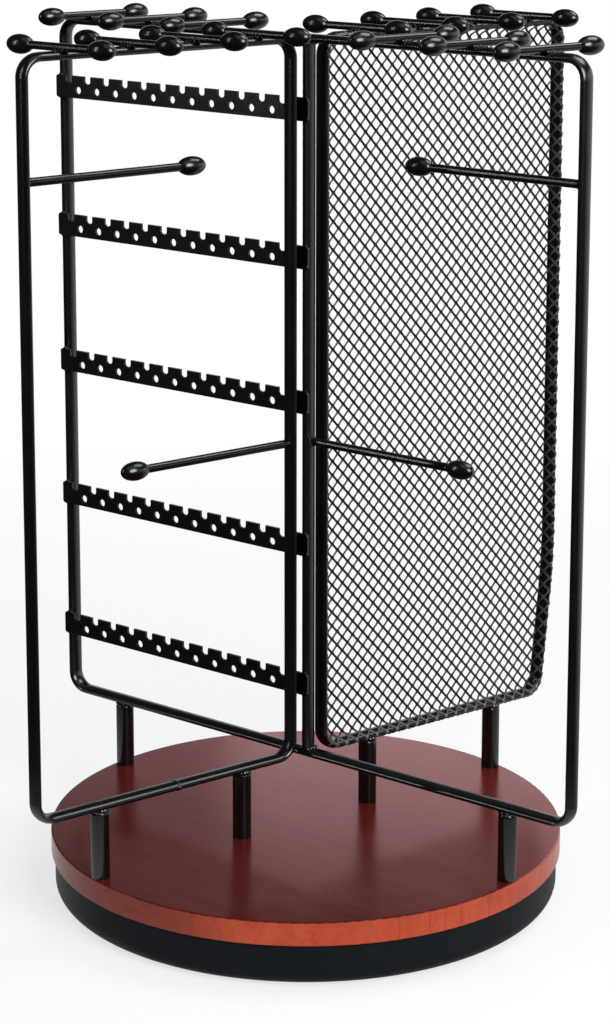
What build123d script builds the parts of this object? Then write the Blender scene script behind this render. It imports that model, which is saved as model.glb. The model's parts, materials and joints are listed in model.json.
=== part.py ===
from build123d import *
import os
from math import hypot

# Rotating jewelry stand: three black wire frames on short posts, carried by a
# round wooden turntable that turns freely on a ring bearing in a low black base.
# Millimetres, +Z up. The origin is on the surface the feet stand on, on the axis
# of the turntable. The wide main frame lies along X.

# Wooden turntable
disc_radius = 100.0
disc_thick = 9.3
disc_edge_round = 0.5

# Base dish and rubber feet
disc_overhang = 1.4
base_height = 15.4
base_wall = 3.5
base_floor = 3.0
base_edge_round = 5.0
running_gap = 0.6
foot_count = 4
foot_radius = 7.0
foot_thick = 2.0
foot_proud = 1.0
foot_inset = 16.0
foot_clearance = 0.1

# Ring bearing: inner ring on the base, outer ring under the turntable
ball_diameter = 5.0
ball_count = 24
ball_pitch_radius = 60.0
ring_width = 9.0
ring_height = 8.0
ring_step = 1.0
ring_gap = 1.5
groove_clearance = 0.05
cage_thick = 0.9
cage_height = 6.6
pocket_clearance = 0.15

# Screws that hold the bearing rings and the posts
ring_screw_count = 4
ring_screw_diameter = 3.0
ring_screw_head_diameter = 5.4
ring_screw_head_height = 1.8
ring_screw_grip = 4.5
post_screw_diameter = 4.0
post_screw_head_diameter = 5.8
post_screw_head_height = 2.2
post_screw_grip = 10.0
screw_clearance = 0.05
head_clearance = 0.2
screw_tip_room = 0.5
access_hole_diameter = 8.0

# Oval wire of the frames: thin in the plane of a frame, wide across it
wire_thick = 3.4
wire_wide = 6.6
corner_radius = 7.0
weld_sink = 0.4

# Frames: the main frame crosses the axis, the other two stop short of it
frame_overhang = 24.0
frame_inner = 7.5
centre_rod_offset = 1.2
bottom_rail_rise = 28.0
rail_spacing = 279.6
cross_angle = 76.1

# Mesh frame: its outer upright bends in towards its foot
mesh_extra_reach = 2.3
mesh_foot_setback = 6.0
mesh_knee_rise = 57.0
mesh_knee_radius = 300.0
net_thick = 0.8
net_strand = 2.0
net_hem = 1.0
net_columns = 8
net_rows = 17

# Posts between the turntable and the bottom rails
post_diameter = 7.2
post_top_round = 1.6
post_edge_margin = 0.2
inner_post_radius = 31.0

# Earring bars on the left bay of the main frame
bar_count = 5
bar_height = 9.0
bar_thick = 1.0
bar_corner_round = 1.0
bar_outer_reach = 1.5
bar_inner_reach = 2.9
bar_top_drop = 21.8
bar_bottom_rise = 33.3
notch_pitch = 10.0
notch_margin = 6.9
notch_width = 3.4
notch_depth = 3.0
notch_round = 1.2
bar_hole_diameter = 3.0
bar_hole_rise = 3.2

# Top pegs and hooks with olive tips
peg_diameter = 3.0
peg_half_span = 19.6
tip_length = 11.9
tip_diameter = 7.1
side_peg_count = 4
side_peg_inset = 16.1
side_peg_margin = 16.0
main_peg_count = 3
main_peg_first = 45.5
main_peg_margin = 15.7
hook_diameter = 3.2
hook_reach = 71.3
upper_hook_drop = 43.6
lower_hook_rise = 125.4

# How far a cut runs past the face it opens
overrun = 1.0

# Levels worked up from the feet
base_radius = disc_radius - disc_overhang
base_under = foot_proud
floor_top = base_under + base_floor
base_top = base_under + base_height
disc_under = base_top + running_gap
disc_top = disc_under + disc_thick
bottom_rail = disc_top + bottom_rail_rise
top_rail = bottom_rail + rail_spacing
seat_top = disc_under - ring_height - ring_step
ball_level = (seat_top + disc_under) / 2
peg_level = top_rail + wire_thick / 2 + peg_diameter / 2 - weld_sink
post_top = bottom_rail - wire_thick / 2 + weld_sink
upper_hook = top_rail - upper_hook_drop
lower_hook = bottom_rail + lower_hook_rise

# Radii worked out from the axis
frame_reach = disc_radius + frame_overhang
mesh_reach = frame_reach + mesh_extra_reach
inner_ring_outside = ball_pitch_radius - ring_gap / 2
inner_ring_inside = inner_ring_outside - ring_width
outer_ring_inside = ball_pitch_radius + ring_gap / 2
outer_ring_outside = outer_ring_inside + ring_width
inner_screw_circle = (inner_ring_inside + inner_ring_outside) / 2
outer_screw_circle = (outer_ring_inside + outer_ring_outside) / 2
foot_circle = base_radius - foot_inset
outer_post_radius = disc_radius - post_edge_margin - post_diameter / 2
screw_hole_radius = ring_screw_diameter / 2 + screw_clearance
head_hole_radius = ring_screw_head_diameter / 2 + head_clearance
head_hole_depth = ring_screw_head_height + head_clearance
post_hole_radius = post_screw_diameter / 2 + screw_clearance
post_head_radius = post_screw_head_diameter / 2 + head_clearance
post_head_depth = post_screw_head_height + head_clearance

os.makedirs("parts", exist_ok=True)


def save(piece, name):
    piece.part.label = name
    export_step(piece.part, f"parts/{name}.step")


def at_height(height):
    return Plane.XY.offset(height)


def upright_plane(turn):
    """Upright plane through the axis: local x runs outward, local y is height."""
    outward = Vector(1, 0, 0).rotate(Axis.Z, turn)
    return Plane(origin=(0, 0, 0), x_dir=outward, z_dir=outward.cross(Vector(0, 0, 1)))


def wire_oval(origin, along, frame):
    """Plane of a wire's cross section, its local x square to the frame."""
    return Plane(origin=origin, x_dir=frame.z_dir, z_dir=along)


def cut_wire(origin, along, frame, length):
    """Cuts the seat of the wire that a piece is welded to, so the two meet face to face."""
    with BuildSketch(wire_oval(origin, along, frame)) as oval:
        Ellipse(wire_wide / 2, wire_thick / 2)
    extrude(oval.sketch, amount=length / 2, both=True, mode=Mode.SUBTRACT)


def add_tip(middle, along):
    """Olive tip: an ellipse spun about the rod that carries it."""
    with BuildSketch(Plane(origin=middle, x_dir=along, z_dir=along.cross(Vector(0, 0, 1)))) as half:
        with BuildLine():
            EllipticalCenterArc((0, 0), tip_length / 2, tip_diameter / 2, start_angle=0, arc_size=180)
            Line((-tip_length / 2, 0), (tip_length / 2, 0))
        make_face()
    revolve(half.sketch, axis=Axis(middle, along))


# Planes of the wide main frame and of the mesh and open frames that cross it
main_plane = upright_plane(0)
mesh_plane = upright_plane(cross_angle)
open_plane = upright_plane(cross_angle + 180)

# Posts by name: the frame that each carries and its distance from the axis
posts = {
    "main_post_right": (main_plane, outer_post_radius),
    "main_post_left": (main_plane, -outer_post_radius),
    "open_post_outer": (open_plane, outer_post_radius),
    "open_post_inner": (open_plane, inner_post_radius),
    "mesh_post_outer": (mesh_plane, outer_post_radius),
    "mesh_post_inner": (mesh_plane, inner_post_radius),
}
post_places = [frame.from_local_coords(Vector(radius, 0, 0)) for frame, radius in posts.values()]

# Base dish with the bearing's seat, screw holes, foot pockets and an access hole
with BuildPart() as base_shell:
    with BuildSketch(at_height(base_under)):
        Circle(base_radius)
    extrude(amount=base_height)
    fillet(base_shell.edges().group_by(Axis.Z)[0], base_edge_round)
    with BuildSketch(at_height(floor_top)):
        Circle(base_radius - base_wall)
    extrude(amount=base_height, mode=Mode.SUBTRACT)
    with BuildSketch(at_height(floor_top)):
        Circle(inner_ring_outside)
        Circle(inner_ring_inside, mode=Mode.SUBTRACT)
    extrude(amount=seat_top - floor_top)
    with BuildSketch(at_height(base_under)):
        with PolarLocations(foot_circle, foot_count):
            Circle(foot_radius + foot_clearance)
    extrude(amount=foot_thick - foot_proud, mode=Mode.SUBTRACT)
    with BuildSketch(at_height(base_under)):
        with PolarLocations(inner_screw_circle, ring_screw_count):
            Circle(head_hole_radius)
    extrude(amount=head_hole_depth, mode=Mode.SUBTRACT)
    with BuildSketch(at_height(base_under)):
        with PolarLocations(inner_screw_circle, ring_screw_count):
            Circle(screw_hole_radius)
        with Locations((outer_screw_circle, 0)):
            Circle(access_hole_diameter / 2)
    extrude(amount=base_height, mode=Mode.SUBTRACT)
save(base_shell, "base_shell")

with BuildPart() as rubber_feet:
    with BuildSketch():
        with PolarLocations(foot_circle, foot_count):
            Circle(foot_radius)
    extrude(amount=foot_thick)
save(rubber_feet, "rubber_feet")

# Inner ring, fixed to the base, with blind screw holes and half of the ball groove
with BuildPart() as inner_ring:
    with BuildSketch(at_height(seat_top)):
        Circle(inner_ring_outside)
        Circle(inner_ring_inside, mode=Mode.SUBTRACT)
    extrude(amount=ring_height)
    with Locations((0, 0, ball_level)):
        Torus(ball_pitch_radius, ball_diameter / 2 + groove_clearance, mode=Mode.SUBTRACT)
    with BuildSketch(at_height(seat_top)):
        with PolarLocations(inner_screw_circle, ring_screw_count):
            Circle(screw_hole_radius)
    extrude(amount=ring_screw_grip + screw_tip_room, mode=Mode.SUBTRACT)
save(inner_ring, "bearing_inner_ring")

# Outer ring, fixed under the turntable, counterbored from below
with BuildPart() as outer_ring:
    with BuildSketch(at_height(disc_under - ring_height)):
        Circle(outer_ring_outside)
        Circle(outer_ring_inside, mode=Mode.SUBTRACT)
    extrude(amount=ring_height)
    with Locations((0, 0, ball_level)):
        Torus(ball_pitch_radius, ball_diameter / 2 + groove_clearance, mode=Mode.SUBTRACT)
    with BuildSketch(at_height(disc_under - ring_height)):
        with PolarLocations(outer_screw_circle, ring_screw_count):
            Circle(head_hole_radius)
    extrude(amount=head_hole_depth, mode=Mode.SUBTRACT)
    with BuildSketch(at_height(disc_under - ring_height)):
        with PolarLocations(outer_screw_circle, ring_screw_count):
            Circle(screw_hole_radius)
    extrude(amount=ring_height, mode=Mode.SUBTRACT)
save(outer_ring, "bearing_outer_ring")

with BuildPart() as bearing_balls:
    with Locations((0, 0, ball_level)):
        with PolarLocations(ball_pitch_radius, ball_count):
            Sphere(ball_diameter / 2)
save(bearing_balls, "bearing_balls")

with BuildPart() as ball_cage:
    with BuildSketch(at_height(ball_level - cage_height / 2)):
        Circle(ball_pitch_radius + cage_thick / 2)
        Circle(ball_pitch_radius - cage_thick / 2, mode=Mode.SUBTRACT)
    extrude(amount=cage_height)
    with Locations((0, 0, ball_level)):
        with PolarLocations(ball_pitch_radius, ball_count):
            Cylinder(ball_diameter / 2 + pocket_clearance, cage_thick + 2 * overrun,
                     rotation=(0, 90, 0), mode=Mode.SUBTRACT)
save(ball_cage, "ball_cage")

# Screws up through the base floor into the inner ring
with BuildPart() as base_screws:
    with BuildSketch(at_height(base_under + head_hole_depth - ring_screw_head_height)):
        with PolarLocations(inner_screw_circle, ring_screw_count):
            Circle(ring_screw_head_diameter / 2)
    extrude(amount=ring_screw_head_height)
    with BuildSketch(at_height(base_under + head_hole_depth)):
        with PolarLocations(inner_screw_circle, ring_screw_count):
            Circle(ring_screw_diameter / 2)
    extrude(amount=seat_top + ring_screw_grip - base_under - head_hole_depth)
save(base_screws, "base_screws")

# Screws up through the outer ring into the turntable
outer_head_top = disc_under - ring_height + head_hole_depth
with BuildPart() as disc_screws:
    with BuildSketch(at_height(outer_head_top - ring_screw_head_height)):
        with PolarLocations(outer_screw_circle, ring_screw_count):
            Circle(ring_screw_head_diameter / 2)
    extrude(amount=ring_screw_head_height)
    with BuildSketch(at_height(outer_head_top)):
        with PolarLocations(outer_screw_circle, ring_screw_count):
            Circle(ring_screw_diameter / 2)
    extrude(amount=disc_under + ring_screw_grip - outer_head_top)
save(disc_screws, "disc_screws")

# Turntable with blind holes for the ring screws and counterbored holes for the post screws
with BuildPart() as turntable_disc:
    with BuildSketch(at_height(disc_under)):
        Circle(disc_radius)
    extrude(amount=disc_thick)
    fillet(turntable_disc.edges(), disc_edge_round)
    with BuildSketch(at_height(disc_under)):
        with PolarLocations(outer_screw_circle, ring_screw_count):
            Circle(screw_hole_radius)
    extrude(amount=ring_screw_grip + screw_tip_room, mode=Mode.SUBTRACT)
    with BuildSketch(at_height(disc_under)):
        with Locations(post_places):
            Circle(post_head_radius)
    extrude(amount=post_head_depth, mode=Mode.SUBTRACT)
    with BuildSketch(at_height(disc_under)):
        with Locations(post_places):
            Circle(post_hole_radius)
    extrude(amount=disc_thick, mode=Mode.SUBTRACT)
save(turntable_disc, "turntable_disc")

with BuildPart() as post_screws:
    with BuildSketch(at_height(disc_under + post_head_depth - post_screw_head_height)):
        with Locations(post_places):
            Circle(post_screw_head_diameter / 2)
    extrude(amount=post_screw_head_height)
    with BuildSketch(at_height(disc_under + post_head_depth)):
        with Locations(post_places):
            Circle(post_screw_diameter / 2)
    extrude(amount=disc_thick - post_head_depth + post_screw_grip)
save(post_screws, "post_screws")

# Posts: rounded at the top, and shaped there to the underside of the rail
for post_name, (frame, radius) in posts.items():
    foot = frame.from_local_coords(Vector(radius, disc_top, 0))
    seat = frame.from_local_coords(Vector(radius, bottom_rail, 0))
    with BuildPart() as post:
        with BuildSketch(Plane(foot)):
            Circle(post_diameter / 2)
        extrude(amount=post_top - disc_top)
        fillet(post.edges().group_by(Axis.Z)[-1], post_top_round)
        with BuildSketch(Plane(foot)):
            Circle(post_hole_radius)
        extrude(amount=post_screw_grip + screw_tip_room, mode=Mode.SUBTRACT)
        cut_wire(seat, frame.x_dir, frame, post_diameter + 2 * overrun)
    save(post, post_name)


def wire_frame(frame, corners, radii):
    """Closed loop of oval wire through rounded corners."""
    with BuildPart() as loop:
        with BuildLine(frame) as route:
            FilletPolyline(*corners, radius=radii, close=True)
        with BuildSketch(wire_oval(route.line @ 0, route.line % 0, frame)):
            Ellipse(wire_wide / 2, wire_thick / 2)
        sweep(path=route.line)
    return loop


main_frame = wire_frame(
    main_plane,
    [
        (-frame_reach, bottom_rail),
        (frame_reach, bottom_rail),
        (frame_reach, top_rail),
        (-frame_reach, top_rail),
    ],
    corner_radius,
)
save(main_frame, "main_frame")

open_frame = wire_frame(
    open_plane,
    [
        (frame_inner, bottom_rail),
        (frame_reach, bottom_rail),
        (frame_reach, top_rail),
        (frame_inner, top_rail),
    ],
    corner_radius,
)
save(open_frame, "open_frame")

mesh_corners = [
    (frame_inner, bottom_rail),
    (mesh_reach - mesh_foot_setback, bottom_rail),
    (mesh_reach, bottom_rail + mesh_knee_rise),
    (mesh_reach, top_rail),
    (frame_inner, top_rail),
]
mesh_radii = [corner_radius, corner_radius, mesh_knee_radius, corner_radius, corner_radius]
mesh_frame = wire_frame(mesh_plane, mesh_corners, mesh_radii)
save(mesh_frame, "mesh_frame")

# Upright near the middle of the main frame, its ends shaped to both rails
with BuildPart() as centre_rod:
    with BuildSketch(wire_oval((centre_rod_offset, 0, bottom_rail), (0, 0, 1), main_plane)):
        Ellipse(wire_wide / 2, wire_thick / 2)
    extrude(amount=rail_spacing)
    for rail_level in (bottom_rail, top_rail):
        cut_wire((centre_rod_offset, 0, rail_level), main_plane.x_dir, main_plane, wire_thick + 2 * overrun)
save(centre_rod, "centre_rod")

# Diamond net in the middle of the mesh frame, one holed sheet
net_pitch_x = (mesh_reach - frame_inner) / net_columns
net_pitch_y = rail_spacing / net_rows
net_gap_share = 1 - net_strand * hypot(net_pitch_x, net_pitch_y) / (net_pitch_x * net_pitch_y)
net_gap_x = net_pitch_x * net_gap_share / 2
net_gap_y = net_pitch_y * net_gap_share / 2
net_middle = ((frame_inner + mesh_reach) / 2, (bottom_rail + top_rail) / 2)
net_diamond = [(-net_gap_x, 0), (0, -net_gap_y), (net_gap_x, 0), (0, net_gap_y)]


def net_outline(inset):
    with BuildSketch() as outline:
        with BuildLine():
            FilletPolyline(*mesh_corners, radius=mesh_radii, close=True)
        make_face()
        offset(amount=-inset, mode=Mode.REPLACE)
    return outline.sketch


with BuildSketch() as net_gaps:
    with Locations(net_middle):
        for extra in (0, 1):
            with GridLocations(net_pitch_x, net_pitch_y, net_columns + extra, net_rows + extra):
                Polygon(*net_diamond, align=None)
    add(net_outline(wire_thick / 2 + net_hem), mode=Mode.INTERSECT)

with BuildPart() as mesh_panel:
    with BuildSketch(mesh_plane.offset(-net_thick / 2)):
        add(net_outline(wire_thick / 2))
        add(net_gaps.sketch, mode=Mode.SUBTRACT)
    extrude(amount=net_thick)
save(mesh_panel, "mesh_panel")

# Earring bars: flat strips on the front of the left bay, notched along the top edge,
# with a row of round holes midway between the notches
bar_left = -(frame_reach + bar_outer_reach)
bar_length = centre_rod_offset + bar_inner_reach - bar_left
bar_pitch = (rail_spacing - bar_top_drop - bar_bottom_rise) / (bar_count - 1)
notch_count = int((bar_length - 2 * notch_margin) / notch_pitch) + 1
notch_places = [bar_left + notch_margin + notch_pitch * step for step in range(notch_count)]
hole_places = [place + notch_pitch / 2 for place in notch_places[:-1]]

for index in range(bar_count):
    bar_top = top_rail - bar_top_drop - bar_pitch * index
    with BuildPart() as earring_bar:
        with BuildSketch(main_plane.offset(wire_wide / 2)):
            with Locations((bar_left, bar_top)):
                RectangleRounded(bar_length, bar_height, bar_corner_round, align=(Align.MIN, Align.MAX))
            with Locations([(place, bar_top) for place in notch_places]):
                RectangleRounded(notch_width, 2 * notch_depth, notch_round, mode=Mode.SUBTRACT)
            with Locations([(place, bar_top - bar_height + bar_hole_rise) for place in hole_places]):
                Circle(bar_hole_diameter / 2, mode=Mode.SUBTRACT)
        extrude(amount=bar_thick)
    save(earring_bar, f"earring_bar_{index + 1}")


def top_peg(frame, radius, along):
    """Straight peg across a top rail, parallel to the other frames, with an olive tip at each end."""
    middle = frame.from_local_coords(Vector(radius, peg_level, 0))
    rail = frame.from_local_coords(Vector(radius, top_rail, 0))
    with BuildPart() as peg:
        with BuildSketch(Plane(origin=middle, x_dir=(0, 0, 1), z_dir=along)):
            Circle(peg_diameter / 2)
        extrude(amount=peg_half_span, both=True)
        for side in (-1, 1):
            add_tip(middle + along * (side * peg_half_span), along)
        cut_wire(rail, frame.x_dir, frame, 2 * peg_half_span)
    return peg


side_peg_first = frame_inner + side_peg_inset
side_peg_pitch = (frame_reach - side_peg_margin - side_peg_first) / (side_peg_count - 1)
main_peg_pitch = (frame_reach - main_peg_margin - main_peg_first) / (main_peg_count - 1)

for step in range(side_peg_count):
    radius = side_peg_first + side_peg_pitch * step
    save(top_peg(open_plane, radius, main_plane.x_dir), f"open_peg_{step + 1}")
    save(top_peg(mesh_plane, radius, main_plane.x_dir), f"mesh_peg_{step + 1}")

for step in range(main_peg_count):
    radius = main_peg_first + main_peg_pitch * step
    save(top_peg(main_plane, radius, mesh_plane.x_dir), f"main_peg_right_{step + 1}")
    save(top_peg(main_plane, -radius, mesh_plane.x_dir), f"main_peg_left_{step + 1}")


def hook(frame, root_radius, height, way):
    """Straight hook in the plane of a frame, from an upright to its olive tip."""
    along = frame.x_dir * way
    root = frame.from_local_coords(Vector(root_radius, height, 0))
    with BuildPart() as arm:
        with BuildSketch(Plane(origin=root, x_dir=frame.z_dir, z_dir=along)):
            Circle(hook_diameter / 2)
        extrude(amount=hook_reach)
        add_tip(root + along * hook_reach, along)
        cut_wire(root, Vector(0, 0, 1), frame, hook_diameter + 2 * overrun)
    return arm


save(hook(open_plane, frame_reach, upper_hook, -1), "open_hook_upper")
save(hook(open_plane, frame_inner, lower_hook, 1), "open_hook_lower")
save(hook(main_plane, frame_reach, upper_hook, -1), "main_hook_upper")
save(hook(main_plane, centre_rod_offset, lower_hook, 1), "main_hook_lower")
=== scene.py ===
import json
import math

import bpy
import numpy as np
from mathutils import Matrix, Vector


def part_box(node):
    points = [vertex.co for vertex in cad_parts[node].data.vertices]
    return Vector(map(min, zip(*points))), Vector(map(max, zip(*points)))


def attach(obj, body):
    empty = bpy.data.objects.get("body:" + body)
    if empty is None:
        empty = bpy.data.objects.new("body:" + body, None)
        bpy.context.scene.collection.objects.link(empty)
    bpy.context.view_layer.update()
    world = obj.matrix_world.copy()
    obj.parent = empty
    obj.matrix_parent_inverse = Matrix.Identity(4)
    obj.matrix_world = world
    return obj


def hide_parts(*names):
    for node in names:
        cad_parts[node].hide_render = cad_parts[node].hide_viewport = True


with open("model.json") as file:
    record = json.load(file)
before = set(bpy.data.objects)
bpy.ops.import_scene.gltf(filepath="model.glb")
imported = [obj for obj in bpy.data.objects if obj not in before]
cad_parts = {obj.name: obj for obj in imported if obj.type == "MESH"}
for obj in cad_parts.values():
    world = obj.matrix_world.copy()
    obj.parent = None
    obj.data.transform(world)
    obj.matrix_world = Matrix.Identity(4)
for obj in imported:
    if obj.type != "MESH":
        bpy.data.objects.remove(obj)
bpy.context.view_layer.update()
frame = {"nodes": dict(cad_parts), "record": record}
nodes = frame["nodes"]
print("frame loaded,", len(nodes), "solids by name")

# Camera, fitted to the picture: lengths in metres, angles in degrees, rows and focal length in pixels
cameraView = {
    "turn": 38.863,        # viewing side, about Z from the -Y side
    "distance": 1.01456,
    "aside": -0.00135,
    "height": 0.4301,
    "pitch": 11.233,
    "yaw": 0.047,
    "roll": -0.069,
    "focalPixels": 2721.5,
    "axisRow": 315.0,      # picture row that the optical axis meets
    "pictureRows": 1024,
    "sensor": 36.0,        # millimetres
    "clip": (0.05, 30.0),
}


def placeCamera(view):
    data = bpy.data.cameras.new("pictureCamera")
    data.sensor_width = view["sensor"]
    data.lens = view["focalPixels"] * view["sensor"] / view["pictureRows"]
    data.shift_y = (view["axisRow"] - view["pictureRows"] / 2) / view["pictureRows"]
    data.clip_start, data.clip_end = view["clip"]
    camera = bpy.data.objects.new("pictureCamera", data)
    bpy.context.scene.collection.objects.link(camera)
    aroundZ = Matrix.Rotation(math.radians(view["turn"]), 4, "Z")
    heading = Matrix.Rotation(math.radians(view["turn"] - view["yaw"]), 4, "Z")
    tilt = Matrix.Rotation(math.radians(90.0 - view["pitch"]), 4, "X")
    roll = Matrix.Rotation(math.radians(-view["roll"]), 4, "Z")
    stand = aroundZ @ Vector((view["aside"], -view["distance"], view["height"]))
    camera.matrix_world = Matrix.Translation(stand) @ heading @ tilt @ roll
    bpy.context.scene.camera = camera


placeCamera(cameraView)
bpy.context.scene.view_settings.view_transform = "Standard"
print("camera placed")

# Meshes: rings of points joined into tubes, all worked out as whole arrays


def joinTubes(name, rings, keep=None, smooth=True):
    # rings has the shape (tubes, rings, points, 3); faces join each ring to the next one,
    # open ends get a flat cap, and keep says which rings are used
    tubes, ringCount, sides, _ = rings.shape
    keep = np.ones((tubes, ringCount), bool) if keep is None else keep
    index = np.arange(tubes * ringCount * sides).reshape(tubes, ringCount, sides)
    following = np.roll(index, -1, axis=1)
    joined = keep & np.roll(keep, -1, axis=1)
    joined[:, -1] = False
    near, far = index[joined], following[joined]
    quads = np.stack([near, np.roll(near, -1, 1), np.roll(far, -1, 1), far], -1).reshape(-1, 4)
    came = np.roll(joined, 1, axis=1)
    starts = index[joined & ~came][:, ::-1]
    ends = index[came & ~joined]
    used = np.unique(quads)
    newIndex = np.zeros(index.size, int)
    newIndex[used] = np.arange(used.size)
    points = rings.reshape(-1, 3)[used]
    quads = newIndex[quads]
    corner = points[quads]
    volume = np.einsum("ij,ij->i", corner[:, 0], np.cross(corner[:, 1], corner[:, 2])).sum()
    volume += np.einsum("ij,ij->i", corner[:, 0], np.cross(corner[:, 2], corner[:, 3])).sum()
    faces = quads.tolist() + newIndex[starts].tolist() + newIndex[ends].tolist()
    if volume < 0:
        faces = [face[::-1] for face in faces]
    mesh = bpy.data.meshes.new(name)
    mesh.from_pydata(points.tolist(), [], faces)
    mesh.polygons.foreach_set("use_smooth", np.full(len(faces), smooth))
    mesh.update()
    piece = bpy.data.objects.new(name, mesh)
    bpy.context.scene.collection.objects.link(piece)
    return piece


def onStand(piece, material):
    piece.data.materials.append(material)
    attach(piece, "turntable")
    print(piece.name, len(piece.data.polygons), "faces")


# Materials: every one reads Object coordinates, in metres; the wood also reads which way it faces


def addNode(tree, kind, sockets=None, **settings):
    node = tree.nodes.new(kind)
    for key, value in settings.items():
        setattr(node, key, value)
    for key, value in (sockets or {}).items():
        if isinstance(value, bpy.types.NodeSocket):
            tree.links.new(value, node.inputs[key])
        else:
            node.inputs[key].default_value = value
    return node


def newMaterial(name):
    material = bpy.data.materials.new(name)
    material.use_nodes = True
    tree = material.node_tree
    return material, tree, tree.nodes["Principled BSDF"]


def objectPoints(tree, turn=0.0, scale=(1.0, 1.0, 1.0)):
    spot = addNode(tree, "ShaderNodeTexCoord")
    mapping = addNode(tree, "ShaderNodeMapping", {"Vector": spot.outputs["Object"]})
    mapping.inputs["Rotation"].default_value = (0.0, 0.0, math.radians(turn))
    mapping.inputs["Scale"].default_value = scale
    return mapping.outputs["Vector"]


def noise(tree, points, scale, detail=2.0, roughness=0.5, distortion=0.0):
    return addNode(tree, "ShaderNodeTexNoise", {
        "Vector": points, "Scale": scale, "Detail": detail,
        "Roughness": roughness, "Distortion": distortion}).outputs["Fac"]


def spread(tree, value, low, high, fromLow=0.25, fromHigh=0.75):
    return addNode(tree, "ShaderNodeMapRange", {
        "Value": value, "From Min": fromLow, "From Max": fromHigh,
        "To Min": low, "To Max": high}).outputs["Result"]


def ramp(tree, value, stops):
    node = addNode(tree, "ShaderNodeValToRGB", {"Fac": value})
    elements = node.color_ramp.elements
    while len(elements) < len(stops):
        elements.new(0.5)
    for element, (place, colour) in zip(elements, stops):
        element.position = place
        element.color = (*colour, 1.0)
    return node.outputs["Color"]


toneStops = (0.3, 0.7)   # noise values at which a finish is darkest and lightest


def toned(tree, value, dark, light, stops=toneStops):
    return ramp(tree, value, list(zip(stops, (dark, light))))


def mixColours(tree, share, one, other, blend="MIX"):
    # for colours the node takes its share at socket 0, the two colours at 6 and 7
    node = addNode(tree, "ShaderNodeMix", data_type="RGBA", blend_type=blend)
    for socket, value in zip((node.inputs[0], node.inputs[6], node.inputs[7]), (share, one, other)):
        if isinstance(value, bpy.types.NodeSocket):
            tree.links.new(value, socket)
        else:
            socket.default_value = value if isinstance(value, float) else (*value, 1.0)
    return node.outputs[2]


def sums(tree, operation, *values):
    node = addNode(tree, "ShaderNodeMath", operation=operation)
    for socket, value in zip(node.inputs, values):
        if isinstance(value, bpy.types.NodeSocket):
            tree.links.new(value, socket)
        else:
            socket.default_value = value
    return node.outputs[0]


def bump(tree, height, strength, distance):
    return addNode(tree, "ShaderNodeBump", {
        "Height": height, "Strength": strength, "Distance": distance}).outputs["Normal"]


blackCoat = {
    "dark": (0.0014, 0.0015, 0.0016),
    "light": (0.0030, 0.0031, 0.0033),
    "cloudScale": 55.0,
    "cloudDetail": 4.0,
    "peelScale": 1500.0,
    "peelBump": (0.10, 0.00010),   # strength and depth
    "gloss": (0.20, 0.26),
    "specular": 0.85,
}


def coatMaterial(name, finish):
    # powder coat: faint clouding, orange peel bump, satin gloss;
    # if the finish says so, a painted highlight: it is paler where the piece stands out of a frame's plane on
    # its facing side
    material, tree, shader = newMaterial(name)
    points = objectPoints(tree)
    cloud = noise(tree, points, finish["cloudScale"], finish["cloudDetail"])
    peel = noise(tree, points, finish["peelScale"])
    colour = toned(tree, cloud, finish["dark"], finish["light"])
    # painted highlight: strands that wrap over the wire's facing side are mixed towards a paler colour
    if "paintedHighlight" in finish:
        side = addNode(tree, "ShaderNodeSeparateXYZ", {
            "Vector": objectPoints(tree, -finish["paintedHighlightTurn"])}).outputs["Y"]
        share = spread(tree, side, 1.0, 0.0, *finish["paintedHighlightReach"])
        colour = mixColours(tree, share, colour, finish["paintedHighlight"])
    tree.links.new(colour, shader.inputs["Base Color"])
    tree.links.new(spread(tree, cloud, *finish["gloss"]), shader.inputs["Roughness"])
    tree.links.new(bump(tree, peel, *finish["peelBump"]), shader.inputs["Normal"])
    shader.inputs["Specular IOR Level"].default_value = finish["specular"]
    return material


stainedWood = {
    "grainTurn": -38.863,                 # grain runs across the viewing direction
    "broad": (7.0, 26.0, 14.0),           # how often the broad bands repeat along X, Y and Z
    "broadNoise": (3.0, 0.55, 0.6),       # detail, roughness, distortion
    "broadShare": 0.55,
    "streak": (16.0, 240.0, 90.0),
    "streakNoise": (4.0, 0.6, 0.4),
    "streakShare": 0.45,
    "pore": (90.0, 1500.0, 500.0),
    "poreNoise": (2.0, 0.6),
    "poreStops": (0.3, 0.5),
    "poreShade": (0.82, 0.82, 0.82),
    "poreBump": (0.05, 0.0001),           # strength and depth
    "topStops": (0.34, 0.66),             # noise values of the darkest and the lightest stain
    "topDark": (0.064, 0.0086, 0.0077),
    "topLight": (0.084, 0.0127, 0.0109),
    "sheenTurn": -83.863,                 # painted sheen: the top is made redder and lighter in this direction, where the glare lies
    "sheenReach": (-0.06, 0.06),
    "sheenNear": (0.94, 0.88, 0.86),
    "sheenFar": (1.30, 1.08, 1.08),
    "rimFacing": (0.3, 0.85),             # upward part of the normal where the rim turns into the top
    "rimStops": (0.36, 0.64),
    "rimDark": (0.50, 0.064, 0.026),
    "rimLight": (0.68, 0.108, 0.044),
    # painted shade: dull dark tone of the rim on the side turned from the key light
    "rimShadeColour": (0.15, 0.030, 0.023),
    "rimShading": (                         # painted shade: turn about Z and share of the bright tone, the rest being the dull shaded tone
        (-180, 0.5), (-140, 0.25), (-80, 0.3), (-65, 0.9), (-50, 1.0),
        (-5, 0.85), (60, 0.6), (130, 0.9), (180, 0.5)),
    "line": (0.15, 0.022, 0.012),
    "lineTurns": (-140.5, -31.3, -24.4, -20.5, -16.5, -8.6, 66.0, 151.0),
    "lineWide": 0.15,                     # half width in degrees
    "lineWobble": 3.0,                    # in half widths
    "lineShade": (0.15, 0.55),
    "topSpecular": 0.015,
    "rimSpecular": 0.28,
    "gloss": (0.21, 0.27),
}


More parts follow.
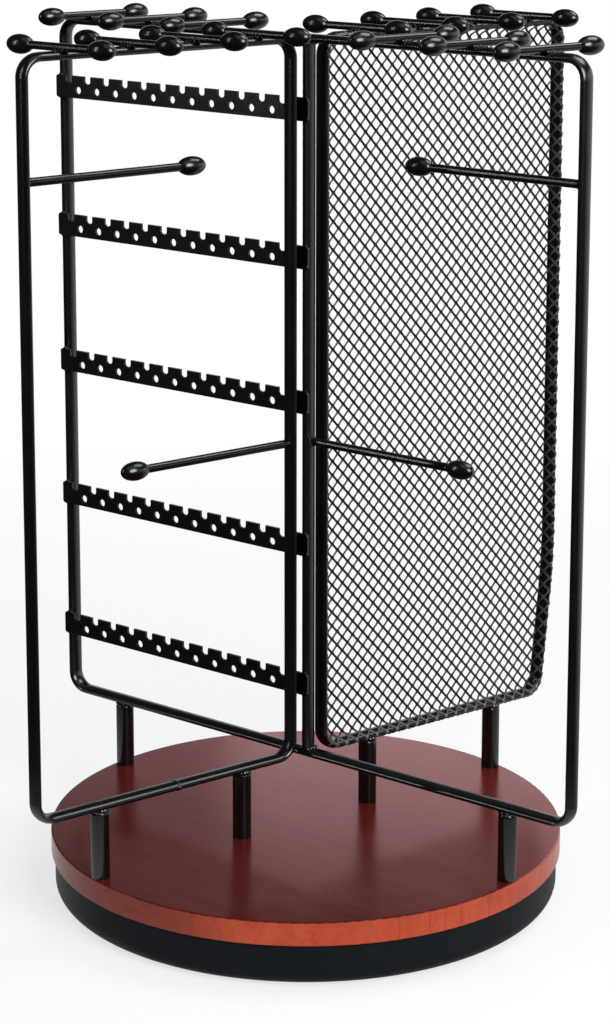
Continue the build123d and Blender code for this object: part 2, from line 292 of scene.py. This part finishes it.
def woodMaterial(name, finish):
    # solid wood grain: streaks stretched along the board, faint on the top, with a painted sheen that makes
    # the top redder and lighter towards the back right;
    # the rim is brighter, with painted shade that dulls it on the side turned from the key light, and it has
    # short dark lines at the listed turns about Z; lacquer over it
    material, tree, shader = newMaterial(name)
    broad, streak, pore = (
        noise(tree, objectPoints(tree, finish["grainTurn"], finish[part]), 1.0, *finish[part + "Noise"])
        for part in ("broad", "streak", "pore"))
    bands = sums(tree, "MULTIPLY", broad, finish["broadShare"])
    tone = sums(tree, "ADD", bands, sums(tree, "MULTIPLY", streak, finish["streakShare"]))
    top = toned(tree, tone, finish["topDark"], finish["topLight"], finish["topStops"])
    # painted sheen: the top's colour is multiplied redder and lighter towards the back right, where the disc
    # cards' glare lies
    across = addNode(tree, "ShaderNodeSeparateXYZ", {
        "Vector": objectPoints(tree, finish["sheenTurn"])}).outputs["X"]
    paintedSheen = spread(tree, across, 0.0, 1.0, *finish["sheenReach"])
    sheenTint = mixColours(tree, paintedSheen, finish["sheenNear"], finish["sheenFar"])
    top = mixColours(tree, 1.0, top, sheenTint, "MULTIPLY")
    rim = toned(tree, tone, finish["rimDark"], finish["rimLight"], finish["rimStops"])
    # painted shade: the rim is dulled round the side turned from the key light, by its turn about Z
    place = addNode(tree, "ShaderNodeSeparateXYZ", {"Vector": objectPoints(tree)}).outputs
    around = spread(tree, sums(tree, "ARCTAN2", place["Y"], place["X"]), 0.0, 1.0, -math.pi, math.pi)
    rimShadeStops = [((turn + 180) / 360, (share, share, share)) for turn, share in finish["rimShading"]]
    rim = mixColours(tree, ramp(tree, around, rimShadeStops), finish["rimShadeColour"], rim)
    half = finish["lineWide"] / 360.0
    wobble = sums(tree, "MULTIPLY", sums(tree, "SUBTRACT", streak, 0.5), finish["lineWobble"] * half)
    bent = sums(tree, "ADD", around, wobble)
    marks = 0.0
    for turn in finish["lineTurns"]:
        marks = sums(tree, "MAXIMUM", sums(tree, "COMPARE", bent, (turn + 180.0) / 360.0, half), marks)
    marks = sums(tree, "MULTIPLY", marks, spread(tree, pore, *finish["lineShade"]))
    rim = mixColours(tree, marks, rim, finish["line"])
    facing = addNode(tree, "ShaderNodeSeparateXYZ", {
        "Vector": addNode(tree, "ShaderNodeNewGeometry").outputs["Normal"]}).outputs["Z"]
    topShare = spread(tree, facing, 0.0, 1.0, *finish["rimFacing"])
    colour = mixColours(tree, topShare, rim, top)
    poreShade = toned(tree, pore, finish["poreShade"], (1.0, 1.0, 1.0), finish["poreStops"])
    colour = mixColours(tree, 1.0, colour, poreShade, "MULTIPLY")
    tree.links.new(colour, shader.inputs["Base Color"])
    tree.links.new(spread(tree, streak, *finish["gloss"]), shader.inputs["Roughness"])
    tree.links.new(bump(tree, pore, *finish["poreBump"]), shader.inputs["Normal"])
    shine = spread(tree, topShare, finish["rimSpecular"], finish["topSpecular"], 0.0, 1.0)
    tree.links.new(shine, shader.inputs["Specular IOR Level"])
    return material


mouldedBlack = {
    "dark": (0.0065, 0.0080, 0.0105),
    "light": (0.0100, 0.0120, 0.0155),
    "cloudScale": 24.0,
    "cloudDetail": 3.0,
    "grainScale": 1300.0,
    "grainNoise": (2.0, 0.6),     # detail, roughness
    "grainBump": (0.1, 0.0001),   # strength and depth
    "gloss": (0.42, 0.52),
    "specular": 0.08,
}


def mouldedMaterial(name, finish):
    # moulded plastic: fine even grain, faint clouding
    material, tree, shader = newMaterial(name)
    points = objectPoints(tree)
    cloud = noise(tree, points, finish["cloudScale"], finish["cloudDetail"])
    grain = noise(tree, points, finish["grainScale"], *finish["grainNoise"])
    tree.links.new(toned(tree, cloud, finish["dark"], finish["light"]), shader.inputs["Base Color"])
    tree.links.new(spread(tree, grain, *finish["gloss"]), shader.inputs["Roughness"])
    tree.links.new(bump(tree, grain, *finish["grainBump"]), shader.inputs["Normal"])
    shader.inputs["Specular IOR Level"].default_value = finish["specular"]
    return material


turnedAluminium = {
    "dark": (0.52, 0.53, 0.54),
    "light": (0.72, 0.73, 0.74),
    "gloss": (0.25, 0.4),
    "marks": (90.0, 90.0, 2600.0),   # how often the marks repeat along X, Y and Z
    "marksNoise": (3.0, 0.6),        # detail, roughness
    "marksBump": (0.06, 0.0001),     # strength and depth
}


def metalMaterial(name, finish):
    # bare metal: fine turning or drawing marks, close together across their direction
    material, tree, shader = newMaterial(name)
    marks = noise(tree, objectPoints(tree, 0.0, finish["marks"]), 1.0, *finish["marksNoise"])
    tree.links.new(toned(tree, marks, finish["dark"], finish["light"]), shader.inputs["Base Color"])
    tree.links.new(spread(tree, marks, *finish["gloss"]), shader.inputs["Roughness"])
    tree.links.new(bump(tree, marks, *finish["marksBump"]), shader.inputs["Normal"])
    shader.inputs["Metallic"].default_value = 1.0
    return material


meshCoat = dict(
    blackCoat,
    dark=(0.006, 0.006, 0.0065),
    light=(0.012, 0.012, 0.0125),
    gloss=(0.36, 0.46),
    specular=0.6,
    # painted highlight: paler colour of the strands where they wrap over the front of the wire
    paintedHighlight=(0.065, 0.065, 0.066),
    paintedHighlightTurn=76.1,                  # direction of the frame about Z
    paintedHighlightReach=(-0.0018, -0.0006),   # full painted highlight and none, metres from its plane
)
weldCoat = dict(blackCoat, gloss=(0.11, 0.17))
footRubber = dict(
    mouldedBlack,
    dark=(0.014, 0.014, 0.014),
    light=(0.024, 0.024, 0.024),
    grainScale=900.0,
    gloss=(0.7, 0.85),
    specular=0.3,
)
cageNylon = dict(
    mouldedBlack,
    dark=(0.60, 0.58, 0.53),
    light=(0.72, 0.70, 0.65),
    grainScale=700.0,
    gloss=(0.4, 0.55),
    specular=0.5,
)
zincSteel = dict(
    turnedAluminium,
    dark=(0.42, 0.42, 0.43),
    light=(0.62, 0.62, 0.63),
    gloss=(0.22, 0.36),
    marks=(700.0, 700.0, 250.0),
)

slotMaterials = {
    "black_metal": coatMaterial("black_powder_coat", blackCoat),
    "turntable_wood": woodMaterial("stained_wood", stainedWood),
    "base_black": mouldedMaterial("moulded_black", mouldedBlack),
    "foot_rubber": mouldedMaterial("foot_rubber", footRubber),
    "ring_aluminium": metalMaterial("turned_aluminium", turnedAluminium),
    "steel": metalMaterial("zinc_steel", zincSteel),
    "cage_nylon": mouldedMaterial("cage_nylon", cageNylon),
}

for row in frame["record"]["subparts"]:
    solid = nodes[row["node"]].data
    solid.materials.clear()
    solid.materials.append(slotMaterials[row["material_slot"]])

# Wire of the frames, and the levels of their rails read off the box of the main frame
wire = {"thick": 0.0034, "wide": 0.0066}
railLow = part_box("main_frame")[0].z + wire["thick"] / 2
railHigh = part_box("main_frame")[1].z - wire["thick"] / 2


def axesAt(degrees):
    # outward, facing and upward directions of a frame that stands at this turn about Z
    turn = math.radians(degrees)
    outward = (math.cos(turn), math.sin(turn), 0.0)
    facing = (math.sin(turn), -math.cos(turn), 0.0)
    return np.array([outward, facing, (0.0, 0.0, 1.0)])


# Fine diamond mesh, wrapped round the wire of its frame
diamondMesh = {
    "turn": 76.1,            # direction of the frame about Z
    "inner": 0.0075,
    "reach": 0.1263,
    "footSetback": 0.006,
    "kneeRise": 0.057,
    "kneeRadius": 0.300,
    "kneePoints": 7,
    "cornerRadius": 0.007,
    "cellWide": 0.00515,
    "cellHigh": 0.00553,
    "strandWide": (0.00088, 0.00069),   # falling and rising strands
    "strandThick": 0.00022,
    "layers": (0.3, -0.3),              # their distance in front of the sheet, in thicknesses
    "knuckle": 0.55,                    # how much wider a strand is at a crossing
    "stepsPerCell": 5,
    "tilt": (22.0, -22.0),              # how far a strand's face leans from the sheet, degrees
    "wireTilt": 0.5,                    # share of that lean where it lies on the wire
    "lead": 0.0020,                     # where the sheet leaves its plane before the wire
    "ease": 0.003,                      # how gently it rises from there, metres
    "risePoints": 60,
    "wrapPoints": 200,
    "slopeStep": 2e-5,                  # half the length over which its slope is measured
    "proud": 0.00006,
    "wrapFrom": 128.0,                  # degrees round the wire's section, 90 is the front
    "wrapTo": 36.0,
    "wrapInner": 104.0,                 # the same at the upright next to the axis
    "innerFacing": -0.75,               # outward part of the direction at that upright
}


def frameOutline(sizes, inset):
    # corner points of the frame's centre line moved in by inset, the knee as a row of points on its arc
    low, high, near = railLow, railHigh, sizes["inner"]
    foot, knee = sizes["reach"] - sizes["footSetback"], sizes["kneeRise"]
    lean = math.atan2(sizes["footSetback"], knee)
    arc = np.linspace(lean, 0.0, sizes["kneePoints"])
    reachIn = sizes["kneeRadius"] * math.tan(lean / 2)
    startU = sizes["reach"] - sizes["kneeRadius"]
    startV = low + knee + reachIn
    kneeU = startU + sizes["kneeRadius"] * np.cos(arc)
    kneeV = startV - sizes["kneeRadius"] * np.sin(arc)
    us = np.concatenate([[near, foot], kneeU, [sizes["reach"], near]])
    vs = np.concatenate([[low, low], kneeV, [high, high]])
    points = np.stack([us, vs], 1)
    side = np.roll(points, -1, 0) - points
    side /= np.linalg.norm(side, axis=1)[:, None]
    outward = np.stack([side[:, 1], -side[:, 0]], 1)
    before = np.roll(outward, 1, 0)
    half = (outward + before) / (1.0 + np.sum(outward * before, 1))[:, None]
    return points - inset * half


def outlineDistance(corners, u, v, radius):
    # distance of sheet points from the rounded outline, negative inside, and the direction away from it
    point = np.stack([u, v], -1)[..., None, :]
    start, end = corners, np.roll(corners, -1, 0)
    side = end - start
    share = np.clip(np.sum((point - start) * side, -1) / np.sum(side * side, -1), 0.0, 1.0)
    gap = point - (start + share[..., None] * side)
    size = np.linalg.norm(gap, axis=-1)
    nearest = np.argmin(size, -1)[..., None]
    size = np.take_along_axis(size, nearest, -1)[..., 0]
    gap = np.take_along_axis(gap, nearest[..., None], -2)[..., 0, :]
    outward = np.stack([side[:, 1], -side[:, 0]], -1)
    outside = np.max(np.sum((point - start) * outward, -1) / np.linalg.norm(side, axis=-1), -1) > 0
    sign = np.where(outside, 1.0, -1.0)
    away = gap / np.maximum(size, 1e-9)[..., None] * sign[..., None]
    return sign * size - radius, away


def wrapSection(sizes):
    # path of the sheet in the wire's section: a cubic rise out of its plane, then round the oval;
    # given with the length along it, where it begins, and where it ends at the inner upright
    a, b = wire["thick"] / 2 + sizes["proud"], wire["wide"] / 2 + sizes["proud"]
    angle = np.radians(np.linspace(sizes["wrapFrom"], sizes["wrapTo"], sizes["wrapPoints"]))
    oval = np.stack([a * np.cos(angle), b * np.sin(angle)], 1)
    t = np.linspace(0.0, 1.0, sizes["risePoints"])[:-1, None]
    first, last = np.array([-a - sizes["lead"], 0.0]), oval[0]
    leave = np.array([sizes["ease"], 0.0])
    meet = (oval[1] - oval[0]) / np.linalg.norm(oval[1] - oval[0]) * sizes["ease"]
    rise = first * (2 * t**3 - 3 * t**2 + 1) + leave * (t**3 - 2 * t**2 + t)
    rise += last * (3 * t**2 - 2 * t**3) + meet * (t**3 - t**2)
    path = np.concatenate([rise, oval])
    along = np.concatenate([[0.0], np.cumsum(np.linalg.norm(np.diff(path, axis=0), axis=1))])
    inner = along[len(rise) + np.argmax(angle < math.radians(sizes["wrapInner"]))]
    return path, along, first[0], inner


def diamondStrands(sizes):
    # strands: straight diagonals of the flat sheet, sampled evenly; each point near the wire is carried
    # by its distance from the outline round the wire's section; a strand is a flat ribbon along that path
    outward, facing, upward = axesAt(sizes["turn"])
    corners = frameOutline(sizes, sizes["cornerRadius"])
    path, along, leaveAt, innerEnd = wrapSection(sizes)
    wide, high = sizes["reach"] - sizes["inner"], railHigh - railLow
    margin = along[-1]
    cells = int((wide + 2 * margin) / sizes["cellWide"]) + 1
    rows = int((high + 2 * margin) / sizes["cellHigh"]) + 1
    middleU, middleV = (sizes["inner"] + sizes["reach"]) / 2, (railLow + railHigh) / 2
    lines = np.arange(-(cells + rows) // 2 - 1, (cells + rows) // 2 + 2)
    span = (cells + rows) * sizes["stepsPerCell"]
    t = np.arange(-span // 2, span // 2 + 1) / sizes["stepsPerCell"]
    thick, step = sizes["strandThick"], sizes["slopeStep"]
    allRings, allKeep = [], []
    ways = zip((-1, 1), sizes["strandWide"], sizes["layers"], np.radians(sizes["tilt"]))
    for way, strandWide, lift, tilt in ways:
        u = middleU + (lines[:, None] * 0.5 + t[None, :] * 0.5) * sizes["cellWide"]
        v = middleV + way * (t[None, :] * 0.5 - lines[:, None] * 0.5) * sizes["cellHigh"]
        inBox = (np.abs(u - middleU) < wide / 2 + margin) & (np.abs(v - middleV) < high / 2 + margin)
        distance, away = outlineDistance(corners, u, v, sizes["cornerRadius"])
        q = distance - leaveAt
        keep = inBox & (q < np.where(away[..., 0] < sizes["innerFacing"], innerEnd, along[-1]))
        onWire = q > 0
        n = np.where(onWire, np.interp(q, along, path[:, 0]), distance)
        w = np.where(onWire, np.interp(q, along, path[:, 1]), 0.0)
        dn = np.interp(q + step, along, path[:, 0]) - np.interp(q - step, along, path[:, 0])
        dw = np.interp(q + step, along, path[:, 1]) - np.interp(q - step, along, path[:, 1])
        size = np.maximum(np.hypot(dn, dw), 1e-12)
        dn, dw = np.where(onWire, dn / size, 1.0), np.where(onWire, dw / size, 0.0)
        flat = np.stack([u, v], -1) + np.where(onWire, n - distance, 0.0)[..., None] * away
        inPlane = away[..., 0, None] * outward + away[..., 1, None] * upward
        place = flat[..., 0, None] * outward + flat[..., 1, None] * upward + w[..., None] * facing
        normal = dn[..., None] * facing - dw[..., None] * inPlane
        ahead = np.gradient(place, axis=1)
        ahead /= np.maximum(np.linalg.norm(ahead, axis=-1), 1e-9)[..., None]
        across = np.cross(ahead, normal)
        across /= np.maximum(np.linalg.norm(across, axis=-1), 1e-9)[..., None]
        crossing = np.cos(2 * np.pi * (t[None, :] + lines[:, None]))
        half = strandWide / 2 * (1.0 + sizes["knuckle"] * np.clip(crossing, 0.0, 1.0) ** 2)
        centre = place + normal * (lift * thick)
        lean = np.where(onWire, sizes["wireTilt"] * tilt, tilt)[..., None]
        a = (across * np.cos(lean) - normal * np.sin(lean)) * half[..., None]
        b = (normal * np.cos(lean) + across * np.sin(lean)) * thick / 2
        allRings.append(np.stack([centre - a - b, centre + a - b, centre + a + b, centre - a + b], 2))
        allKeep.append(keep)
    return np.concatenate(allRings), np.concatenate(allKeep)


strandRings, strandKeep = diamondStrands(diamondMesh)
mesh = joinTubes("diamond_mesh", strandRings, strandKeep, smooth=False)
onStand(mesh, coatMaterial("mesh_coat", meshCoat))
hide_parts("mesh_panel")

# Weld beads, placed from the boxes of the solids that meet there
weldBeads = {
    "turns": {"main": 0.0, "open": 256.1, "mesh": 76.1},
    "pegTurns": {"main": 76.1, "open": 0.0, "mesh": 0.0},
    "swell": 0.12,
    "swellStep": 2.4,        # how far the swelling turns from one bead to the next, radians
    "rowsRound": 8,
    "rowsAlong": 5,
    "lastRow": 82.0,         # latitude in degrees
    "beadsRound": 10,        # in a ring
    # half has the half sizes along the outward, facing and upward directions of the frame or peg
    "post": {"ring": 0.0021, "rise": 0.00015, "half": (0.0016, 0.0016, 0.0018)},
    "peg": {
        "side": 0.0013, "along": (-0.0015, 0.0, 0.0014), "rise": 0.0001,
        "half": (0.0006, 0.0010, 0.0006)},
    "hook": {"ring": 0.00175, "inset": 0.0003, "half": (0.0006, 0.0006, 0.0006)},
    "rod": {"side": 0.0018, "along": (-0.002, 0.0, 0.002), "half": (0.0008, 0.0013, 0.0008)},
    "barInner": {"inset": 0.0005, "edge": -0.0010, "sink": 0.0, "half": (0.0008, 0.0005, 0.0008)},
    "barOuter": {"inset": 0.0018, "edge": 0.0001, "sink": 0.0007, "half": (0.0010, 0.0006, 0.0005)},
}


def middleOf(node):
    low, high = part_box(node)
    return (np.array(low) + np.array(high)) / 2


def axesOf(name):
    return axesAt(weldBeads["turns"][name.split("_")[0]])


def beadSpots(sizes):
    # one row per bead: centre, the three directions it is measured along, half sizes along them
    spots = []

    def put(centre, axes, offsets, half):
        spots.extend((centre + np.array(offset) @ axes, axes, half) for offset in offsets)

    def creases(rule):
        return [(way * rule["side"], along, 0.0) for way in (-1, 1) for along in rule["along"]]

    def named(part):
        return [row["node"] for row in frame["record"]["subparts"] if part in row["node"]]

    around = np.linspace(0.0, 2 * np.pi, sizes["beadsRound"], endpoint=False)
    post, peg, hook, rod = (sizes[part] for part in ("post", "peg", "hook", "rod"))
    for name in named("_post_"):
        centre = middleOf(name)
        centre[2] = railLow - wire["thick"] / 2 + post["rise"]
        ring = post["ring"] * np.stack([np.cos(around), np.sin(around), 0 * around], 1)
        put(centre, axesOf(name), ring, post["half"])
    for name in named("_peg_"):
        centre = middleOf(name)
        centre[2] = railHigh + wire["thick"] / 2 + peg["rise"]
        put(centre, axesAt(sizes["pegTurns"][name.split("_")[0]] + 90.0), creases(peg), peg["half"])
    for name in named("_hook_"):
        axes = axesOf(name)
        low, high = (np.array(corner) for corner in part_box(name))
        ends = np.array([[x, y, 0.0] for x in (low[0], high[0]) for y in (low[1], high[1])]) @ axes[0]
        # the root is the far end for the upper hooks and the near end for the lower ones
        reach = ends.max() if "upper" in name else ends.min()
        way = -1.0 if "upper" in name else 1.0
        centre = axes[0] * (reach + way * hook["inset"]) + np.array([0.0, 0.0, (low[2] + high[2]) / 2])
        ring = hook["ring"] * np.stack([0 * around, np.cos(around), np.sin(around)], 1)
        put(centre, axes, ring, hook["half"])
    middle = middleOf("centre_rod")
    for level, way in ((railLow, 1), (railHigh, -1)):
        centre = np.array([middle[0], middle[1], level + way * wire["thick"] / 2])
        put(centre, axesOf("main"), creases(rod), rod["half"])
    for name in named("_bar_"):
        low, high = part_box(name)
        face = np.array([0.0, low[1], 0.0])
        for end, way, rule in ((high[0], -1, sizes["barInner"]), (low[0], 1, sizes["barOuter"])):
            x = end + way * rule["inset"]
            corners = [(x, -rule["sink"], high[2] + rule["edge"]), (x, -rule["sink"], low[2] - rule["edge"])]
            put(face, axesOf("main"), corners, rule["half"])
    centres, axes, half = (np.array(column) for column in zip(*spots))
    return centres, axes, half


def beadRings(sizes):
    # each bead is an ellipsoid on a grid of latitude and longitude, swollen by sines of both
    centres, axes, half = beadSpots(sizes)
    latitude = np.radians(np.linspace(-sizes["lastRow"], sizes["lastRow"], sizes["rowsAlong"]))[None, :, None]
    longitude = np.linspace(0.0, 2 * np.pi, sizes["rowsRound"], endpoint=False)[None, None, :]
    phase = np.arange(len(centres))[:, None, None] * sizes["swellStep"]
    swell = 1.0 + sizes["swell"] * np.sin(2 * longitude + phase) * np.cos(latitude + 0.7 * phase)
    unit = np.stack(np.broadcast_arrays(
        np.cos(latitude) * np.cos(longitude), np.sin(latitude), np.cos(latitude) * np.sin(longitude)), -1)
    local = unit * swell[..., None] * half[:, None, None, :]
    return centres[:, None, None, :] + np.einsum("nijk,nkl->nijl", local, axes)


onStand(joinTubes("weld_beads", beadRings(weldBeads)), coatMaterial("weld_coat", weldCoat))

# Butt weld of the open frame: a low band round the wire of its bottom rail
buttSeam = {
    "turn": 256.1,
    "radius": 0.062,
    "wide": 0.0016,
    "proud": 0.00028,
    "sunk": 0.25,         # how deep its edges lie in the wire, as a share of proud
    "ripple": 0.25,       # height of the small sines round it
    "ripples": 5,
    "rippleLean": 9,      # how far they turn over the width, radians
    "sides": 28,
    "rows": 7,
}


def seamRings(sizes):
    # rows across the band; each is the wire's oval, grown by a half sine over the width and by small
    # sines round it
    outward, facing, upward = axesAt(sizes["turn"])
    row = np.linspace(0.0, 1.0, sizes["rows"])[:, None]
    angle = np.linspace(0.0, 2 * np.pi, sizes["sides"], endpoint=False)[None, :]
    grow = sizes["proud"] * ((1.0 + sizes["sunk"]) * np.sin(np.pi * row) - sizes["sunk"])
    grow = grow * (1.0 + sizes["ripple"] * np.sin(sizes["ripples"] * angle + sizes["rippleLean"] * row))
    across = (wire["wide"] / 2 + grow) * np.cos(angle)
    rise = (wire["thick"] / 2 + grow) * np.sin(angle)
    along = sizes["radius"] + (row - 0.5) * sizes["wide"] + 0 * angle
    points = along[..., None] * outward + across[..., None] * facing + rise[..., None] * upward
    return (points + railLow * upward)[None]


onStand(joinTubes("butt_seam", seamRings(buttSeam)), slotMaterials["black_metal"])

# Studio: white for the camera; mirrored rays meet white on the far right side and a dim room elsewhere
studio = {
    "floorSize": 4.0,
    "floorGrey": 0.30,
    "floorGlow": 0.70,
    "floorRoughness": 0.9,
    "fade": (0.20, 0.75),        # where the glow takes over from the grey, metres from the stand
    "whiteTurn": 45.0,           # how far the white side lies to the right of straight behind, degrees
    "nearFloor": (0.07, 0.20),   # the floor is white for mirrored rays up to this length, metres
    "floorWall": (0.45, 1.15),   # where the floor turns white for them, as a share of the direction
    "wall": (0.20, 0.70),        # the same for the world
    "wallTop": (0.24, 0.38),     # and where the wall ends above
    "room": 0.03,                # share of white in the dim room
    "cast": 0.30,                # plain light of the world on the object
}


def seenRays(tree, low, high, top=None, near=False):
    # seen is 1 for rays from the camera and for mirrored or passing ones, 0 for the light that falls on
    # the object; white is how much of the white a mirrored or passing ray meets, from the room's share
    # to 1 on the white side or, with near, where the ray is short; mirrored is 1 for those rays alone
    path = addNode(tree, "ShaderNodeLightPath")
    mirrored = sums(tree, "MAXIMUM", path.outputs["Is Glossy Ray"], path.outputs["Is Transmission Ray"])
    seen = sums(tree, "MAXIMUM", path.outputs["Is Camera Ray"], mirrored)
    points = objectPoints(tree, studio["whiteTurn"] - cameraView["turn"])
    way = addNode(tree, "ShaderNodeVectorMath", {0: points}, operation="NORMALIZE")
    place = addNode(tree, "ShaderNodeSeparateXYZ", {"Vector": way.outputs["Vector"]}).outputs
    white = spread(tree, place["Y"], studio["room"], 1.0, low, high)
    if top:
        white = sums(tree, "MINIMUM", white, spread(tree, place["Z"], 1.0, studio["room"], *top))
    if near:
        close = spread(tree, path.outputs["Ray Length"], 1.0, 0.0, *studio["nearFloor"])
        white = sums(tree, "MAXIMUM", white, close)
    white = sums(tree, "MAXIMUM", white, sums(tree, "SUBTRACT", 1.0, mirrored))
    return seen, white, mirrored


def layFloor(finish):
    # flat sheet at the level of the feet; its glow is for the camera and for mirrored rays only, and
    # takes over from the grey away from the stand; mirrored rays don't meet the grey
    edge = np.linspace(-finish["floorSize"], finish["floorSize"], 3)
    x, y = np.meshgrid(edge, edge, indexing="ij")
    points = np.stack([x, y, np.zeros_like(x)], -1).reshape(-1, 3)
    index = np.arange(9).reshape(3, 3)
    quads = np.stack([index[:-1, :-1], index[1:, :-1], index[1:, 1:], index[:-1, 1:]], -1).reshape(-1, 4)
    mesh = bpy.data.meshes.new("floor")
    mesh.from_pydata(points.tolist(), [], quads.tolist())
    floor = bpy.data.objects.new("floor", mesh)
    bpy.context.scene.collection.objects.link(floor)
    material, tree, shader = newMaterial("pale_floor")
    away = addNode(tree, "ShaderNodeVectorMath", {0: objectPoints(tree)}, operation="LENGTH").outputs["Value"]
    fade = spread(tree, away, 0.0, 1.0, *finish["fade"])
    grey = (finish["floorGrey"],) * 3
    glow = spread(tree, fade, finish["floorGlow"], 1.0, 0.0, 1.0)
    seen, white, mirrored = seenRays(tree, *finish["floorWall"], near=True)
    hidden = sums(tree, "MAXIMUM", fade, mirrored)
    tree.links.new(mixColours(tree, hidden, grey, (0.0, 0.0, 0.0)), shader.inputs["Base Color"])
    shader.inputs["Roughness"].default_value = finish["floorRoughness"]
    shader.inputs["Specular IOR Level"].default_value = 0.0
    shader.inputs["Emission Color"].default_value = (1.0, 1.0, 1.0, 1.0)
    strength = sums(tree, "MULTIPLY", sums(tree, "MULTIPLY", seen, white), glow)
    tree.links.new(strength, shader.inputs["Emission Strength"])
    mesh.materials.append(material)


def lightWorld(finish):
    world = bpy.data.worlds.new("studio")
    bpy.context.scene.world = world
    world.use_nodes = True
    tree = world.node_tree
    sky = tree.nodes["Background"]
    sky.inputs["Color"].default_value = (1.0, 1.0, 1.0, 1.0)
    seen, white, _ = seenRays(tree, *finish["wall"], finish["wallTop"])
    strength = sums(tree, "MULTIPLY", spread(tree, seen, finish["cast"], 1.0, 0.0, 1.0), white)
    tree.links.new(strength, sky.inputs["Strength"])


discCard = {
    "rise": 11.5,
    "distance": 0.48,
    "aim": (0.0, 0.0, 0.03),
    "tint": (1.0, 0.66, 0.69),
    "only": "turntable_disc",
}
# turn is counted from the camera's side to its right, rise from the floor, both in degrees
lamps = {
    "key_box": {"turn": 31.0, "rise": 26.0, "distance": 1.5, "size": (0.8, 0.8), "watts": 18.0},
    "side_box": {"turn": 112.0, "rise": 60.0, "distance": 1.2, "size": (0.6, 0.6), "watts": 4.5},
    "left_strip": {"turn": -75.0, "rise": 20.0, "distance": 1.5, "size": (0.03, 0.9), "watts": 2.4},
    "top_box": {"turn": 8.0, "rise": 72.0, "distance": 1.5, "size": (1.2, 1.2), "watts": 2.0},
    "back_card": dict(discCard, turn=172.7, size=(0.48, 0.22), watts=0.85),
    "right_card": dict(discCard, turn=161.4, size=(0.40, 0.22), watts=1.48),
}


def softLamp(
        name, turn, rise, distance, size, watts, aim=(0.0, 0.0, 0.17), tint=(1.0, 1.0, 1.0), only=None):
    # rectangular lamp pointed at aim; with only, it lights that solid alone
    data = bpy.data.lights.new(name, "AREA")
    data.shape = "RECTANGLE"
    data.size, data.size_y = size
    data.energy = watts
    data.color = tint
    lamp = bpy.data.objects.new(name, data)
    bpy.context.scene.collection.objects.link(lamp)
    lamp.visible_camera = False
    if only:
        lit = bpy.data.collections.new(name + "_lit")
        lit.objects.link(nodes[only])
        lamp.light_linking.receiver_collection = lit
    around, up = math.radians(cameraView["turn"] + turn), math.radians(rise)
    back = Vector((math.sin(around) * math.cos(up), -math.cos(around) * math.cos(up), math.sin(up)))
    place = Matrix.Translation(Vector(aim) + back * distance)
    lamp.matrix_world = place @ back.to_track_quat("Z", "Y").to_matrix().to_4x4()


layFloor(studio)
lightWorld(studio)
for name, settings in lamps.items():
    softLamp(name, **settings)
print("floor and lamps set")
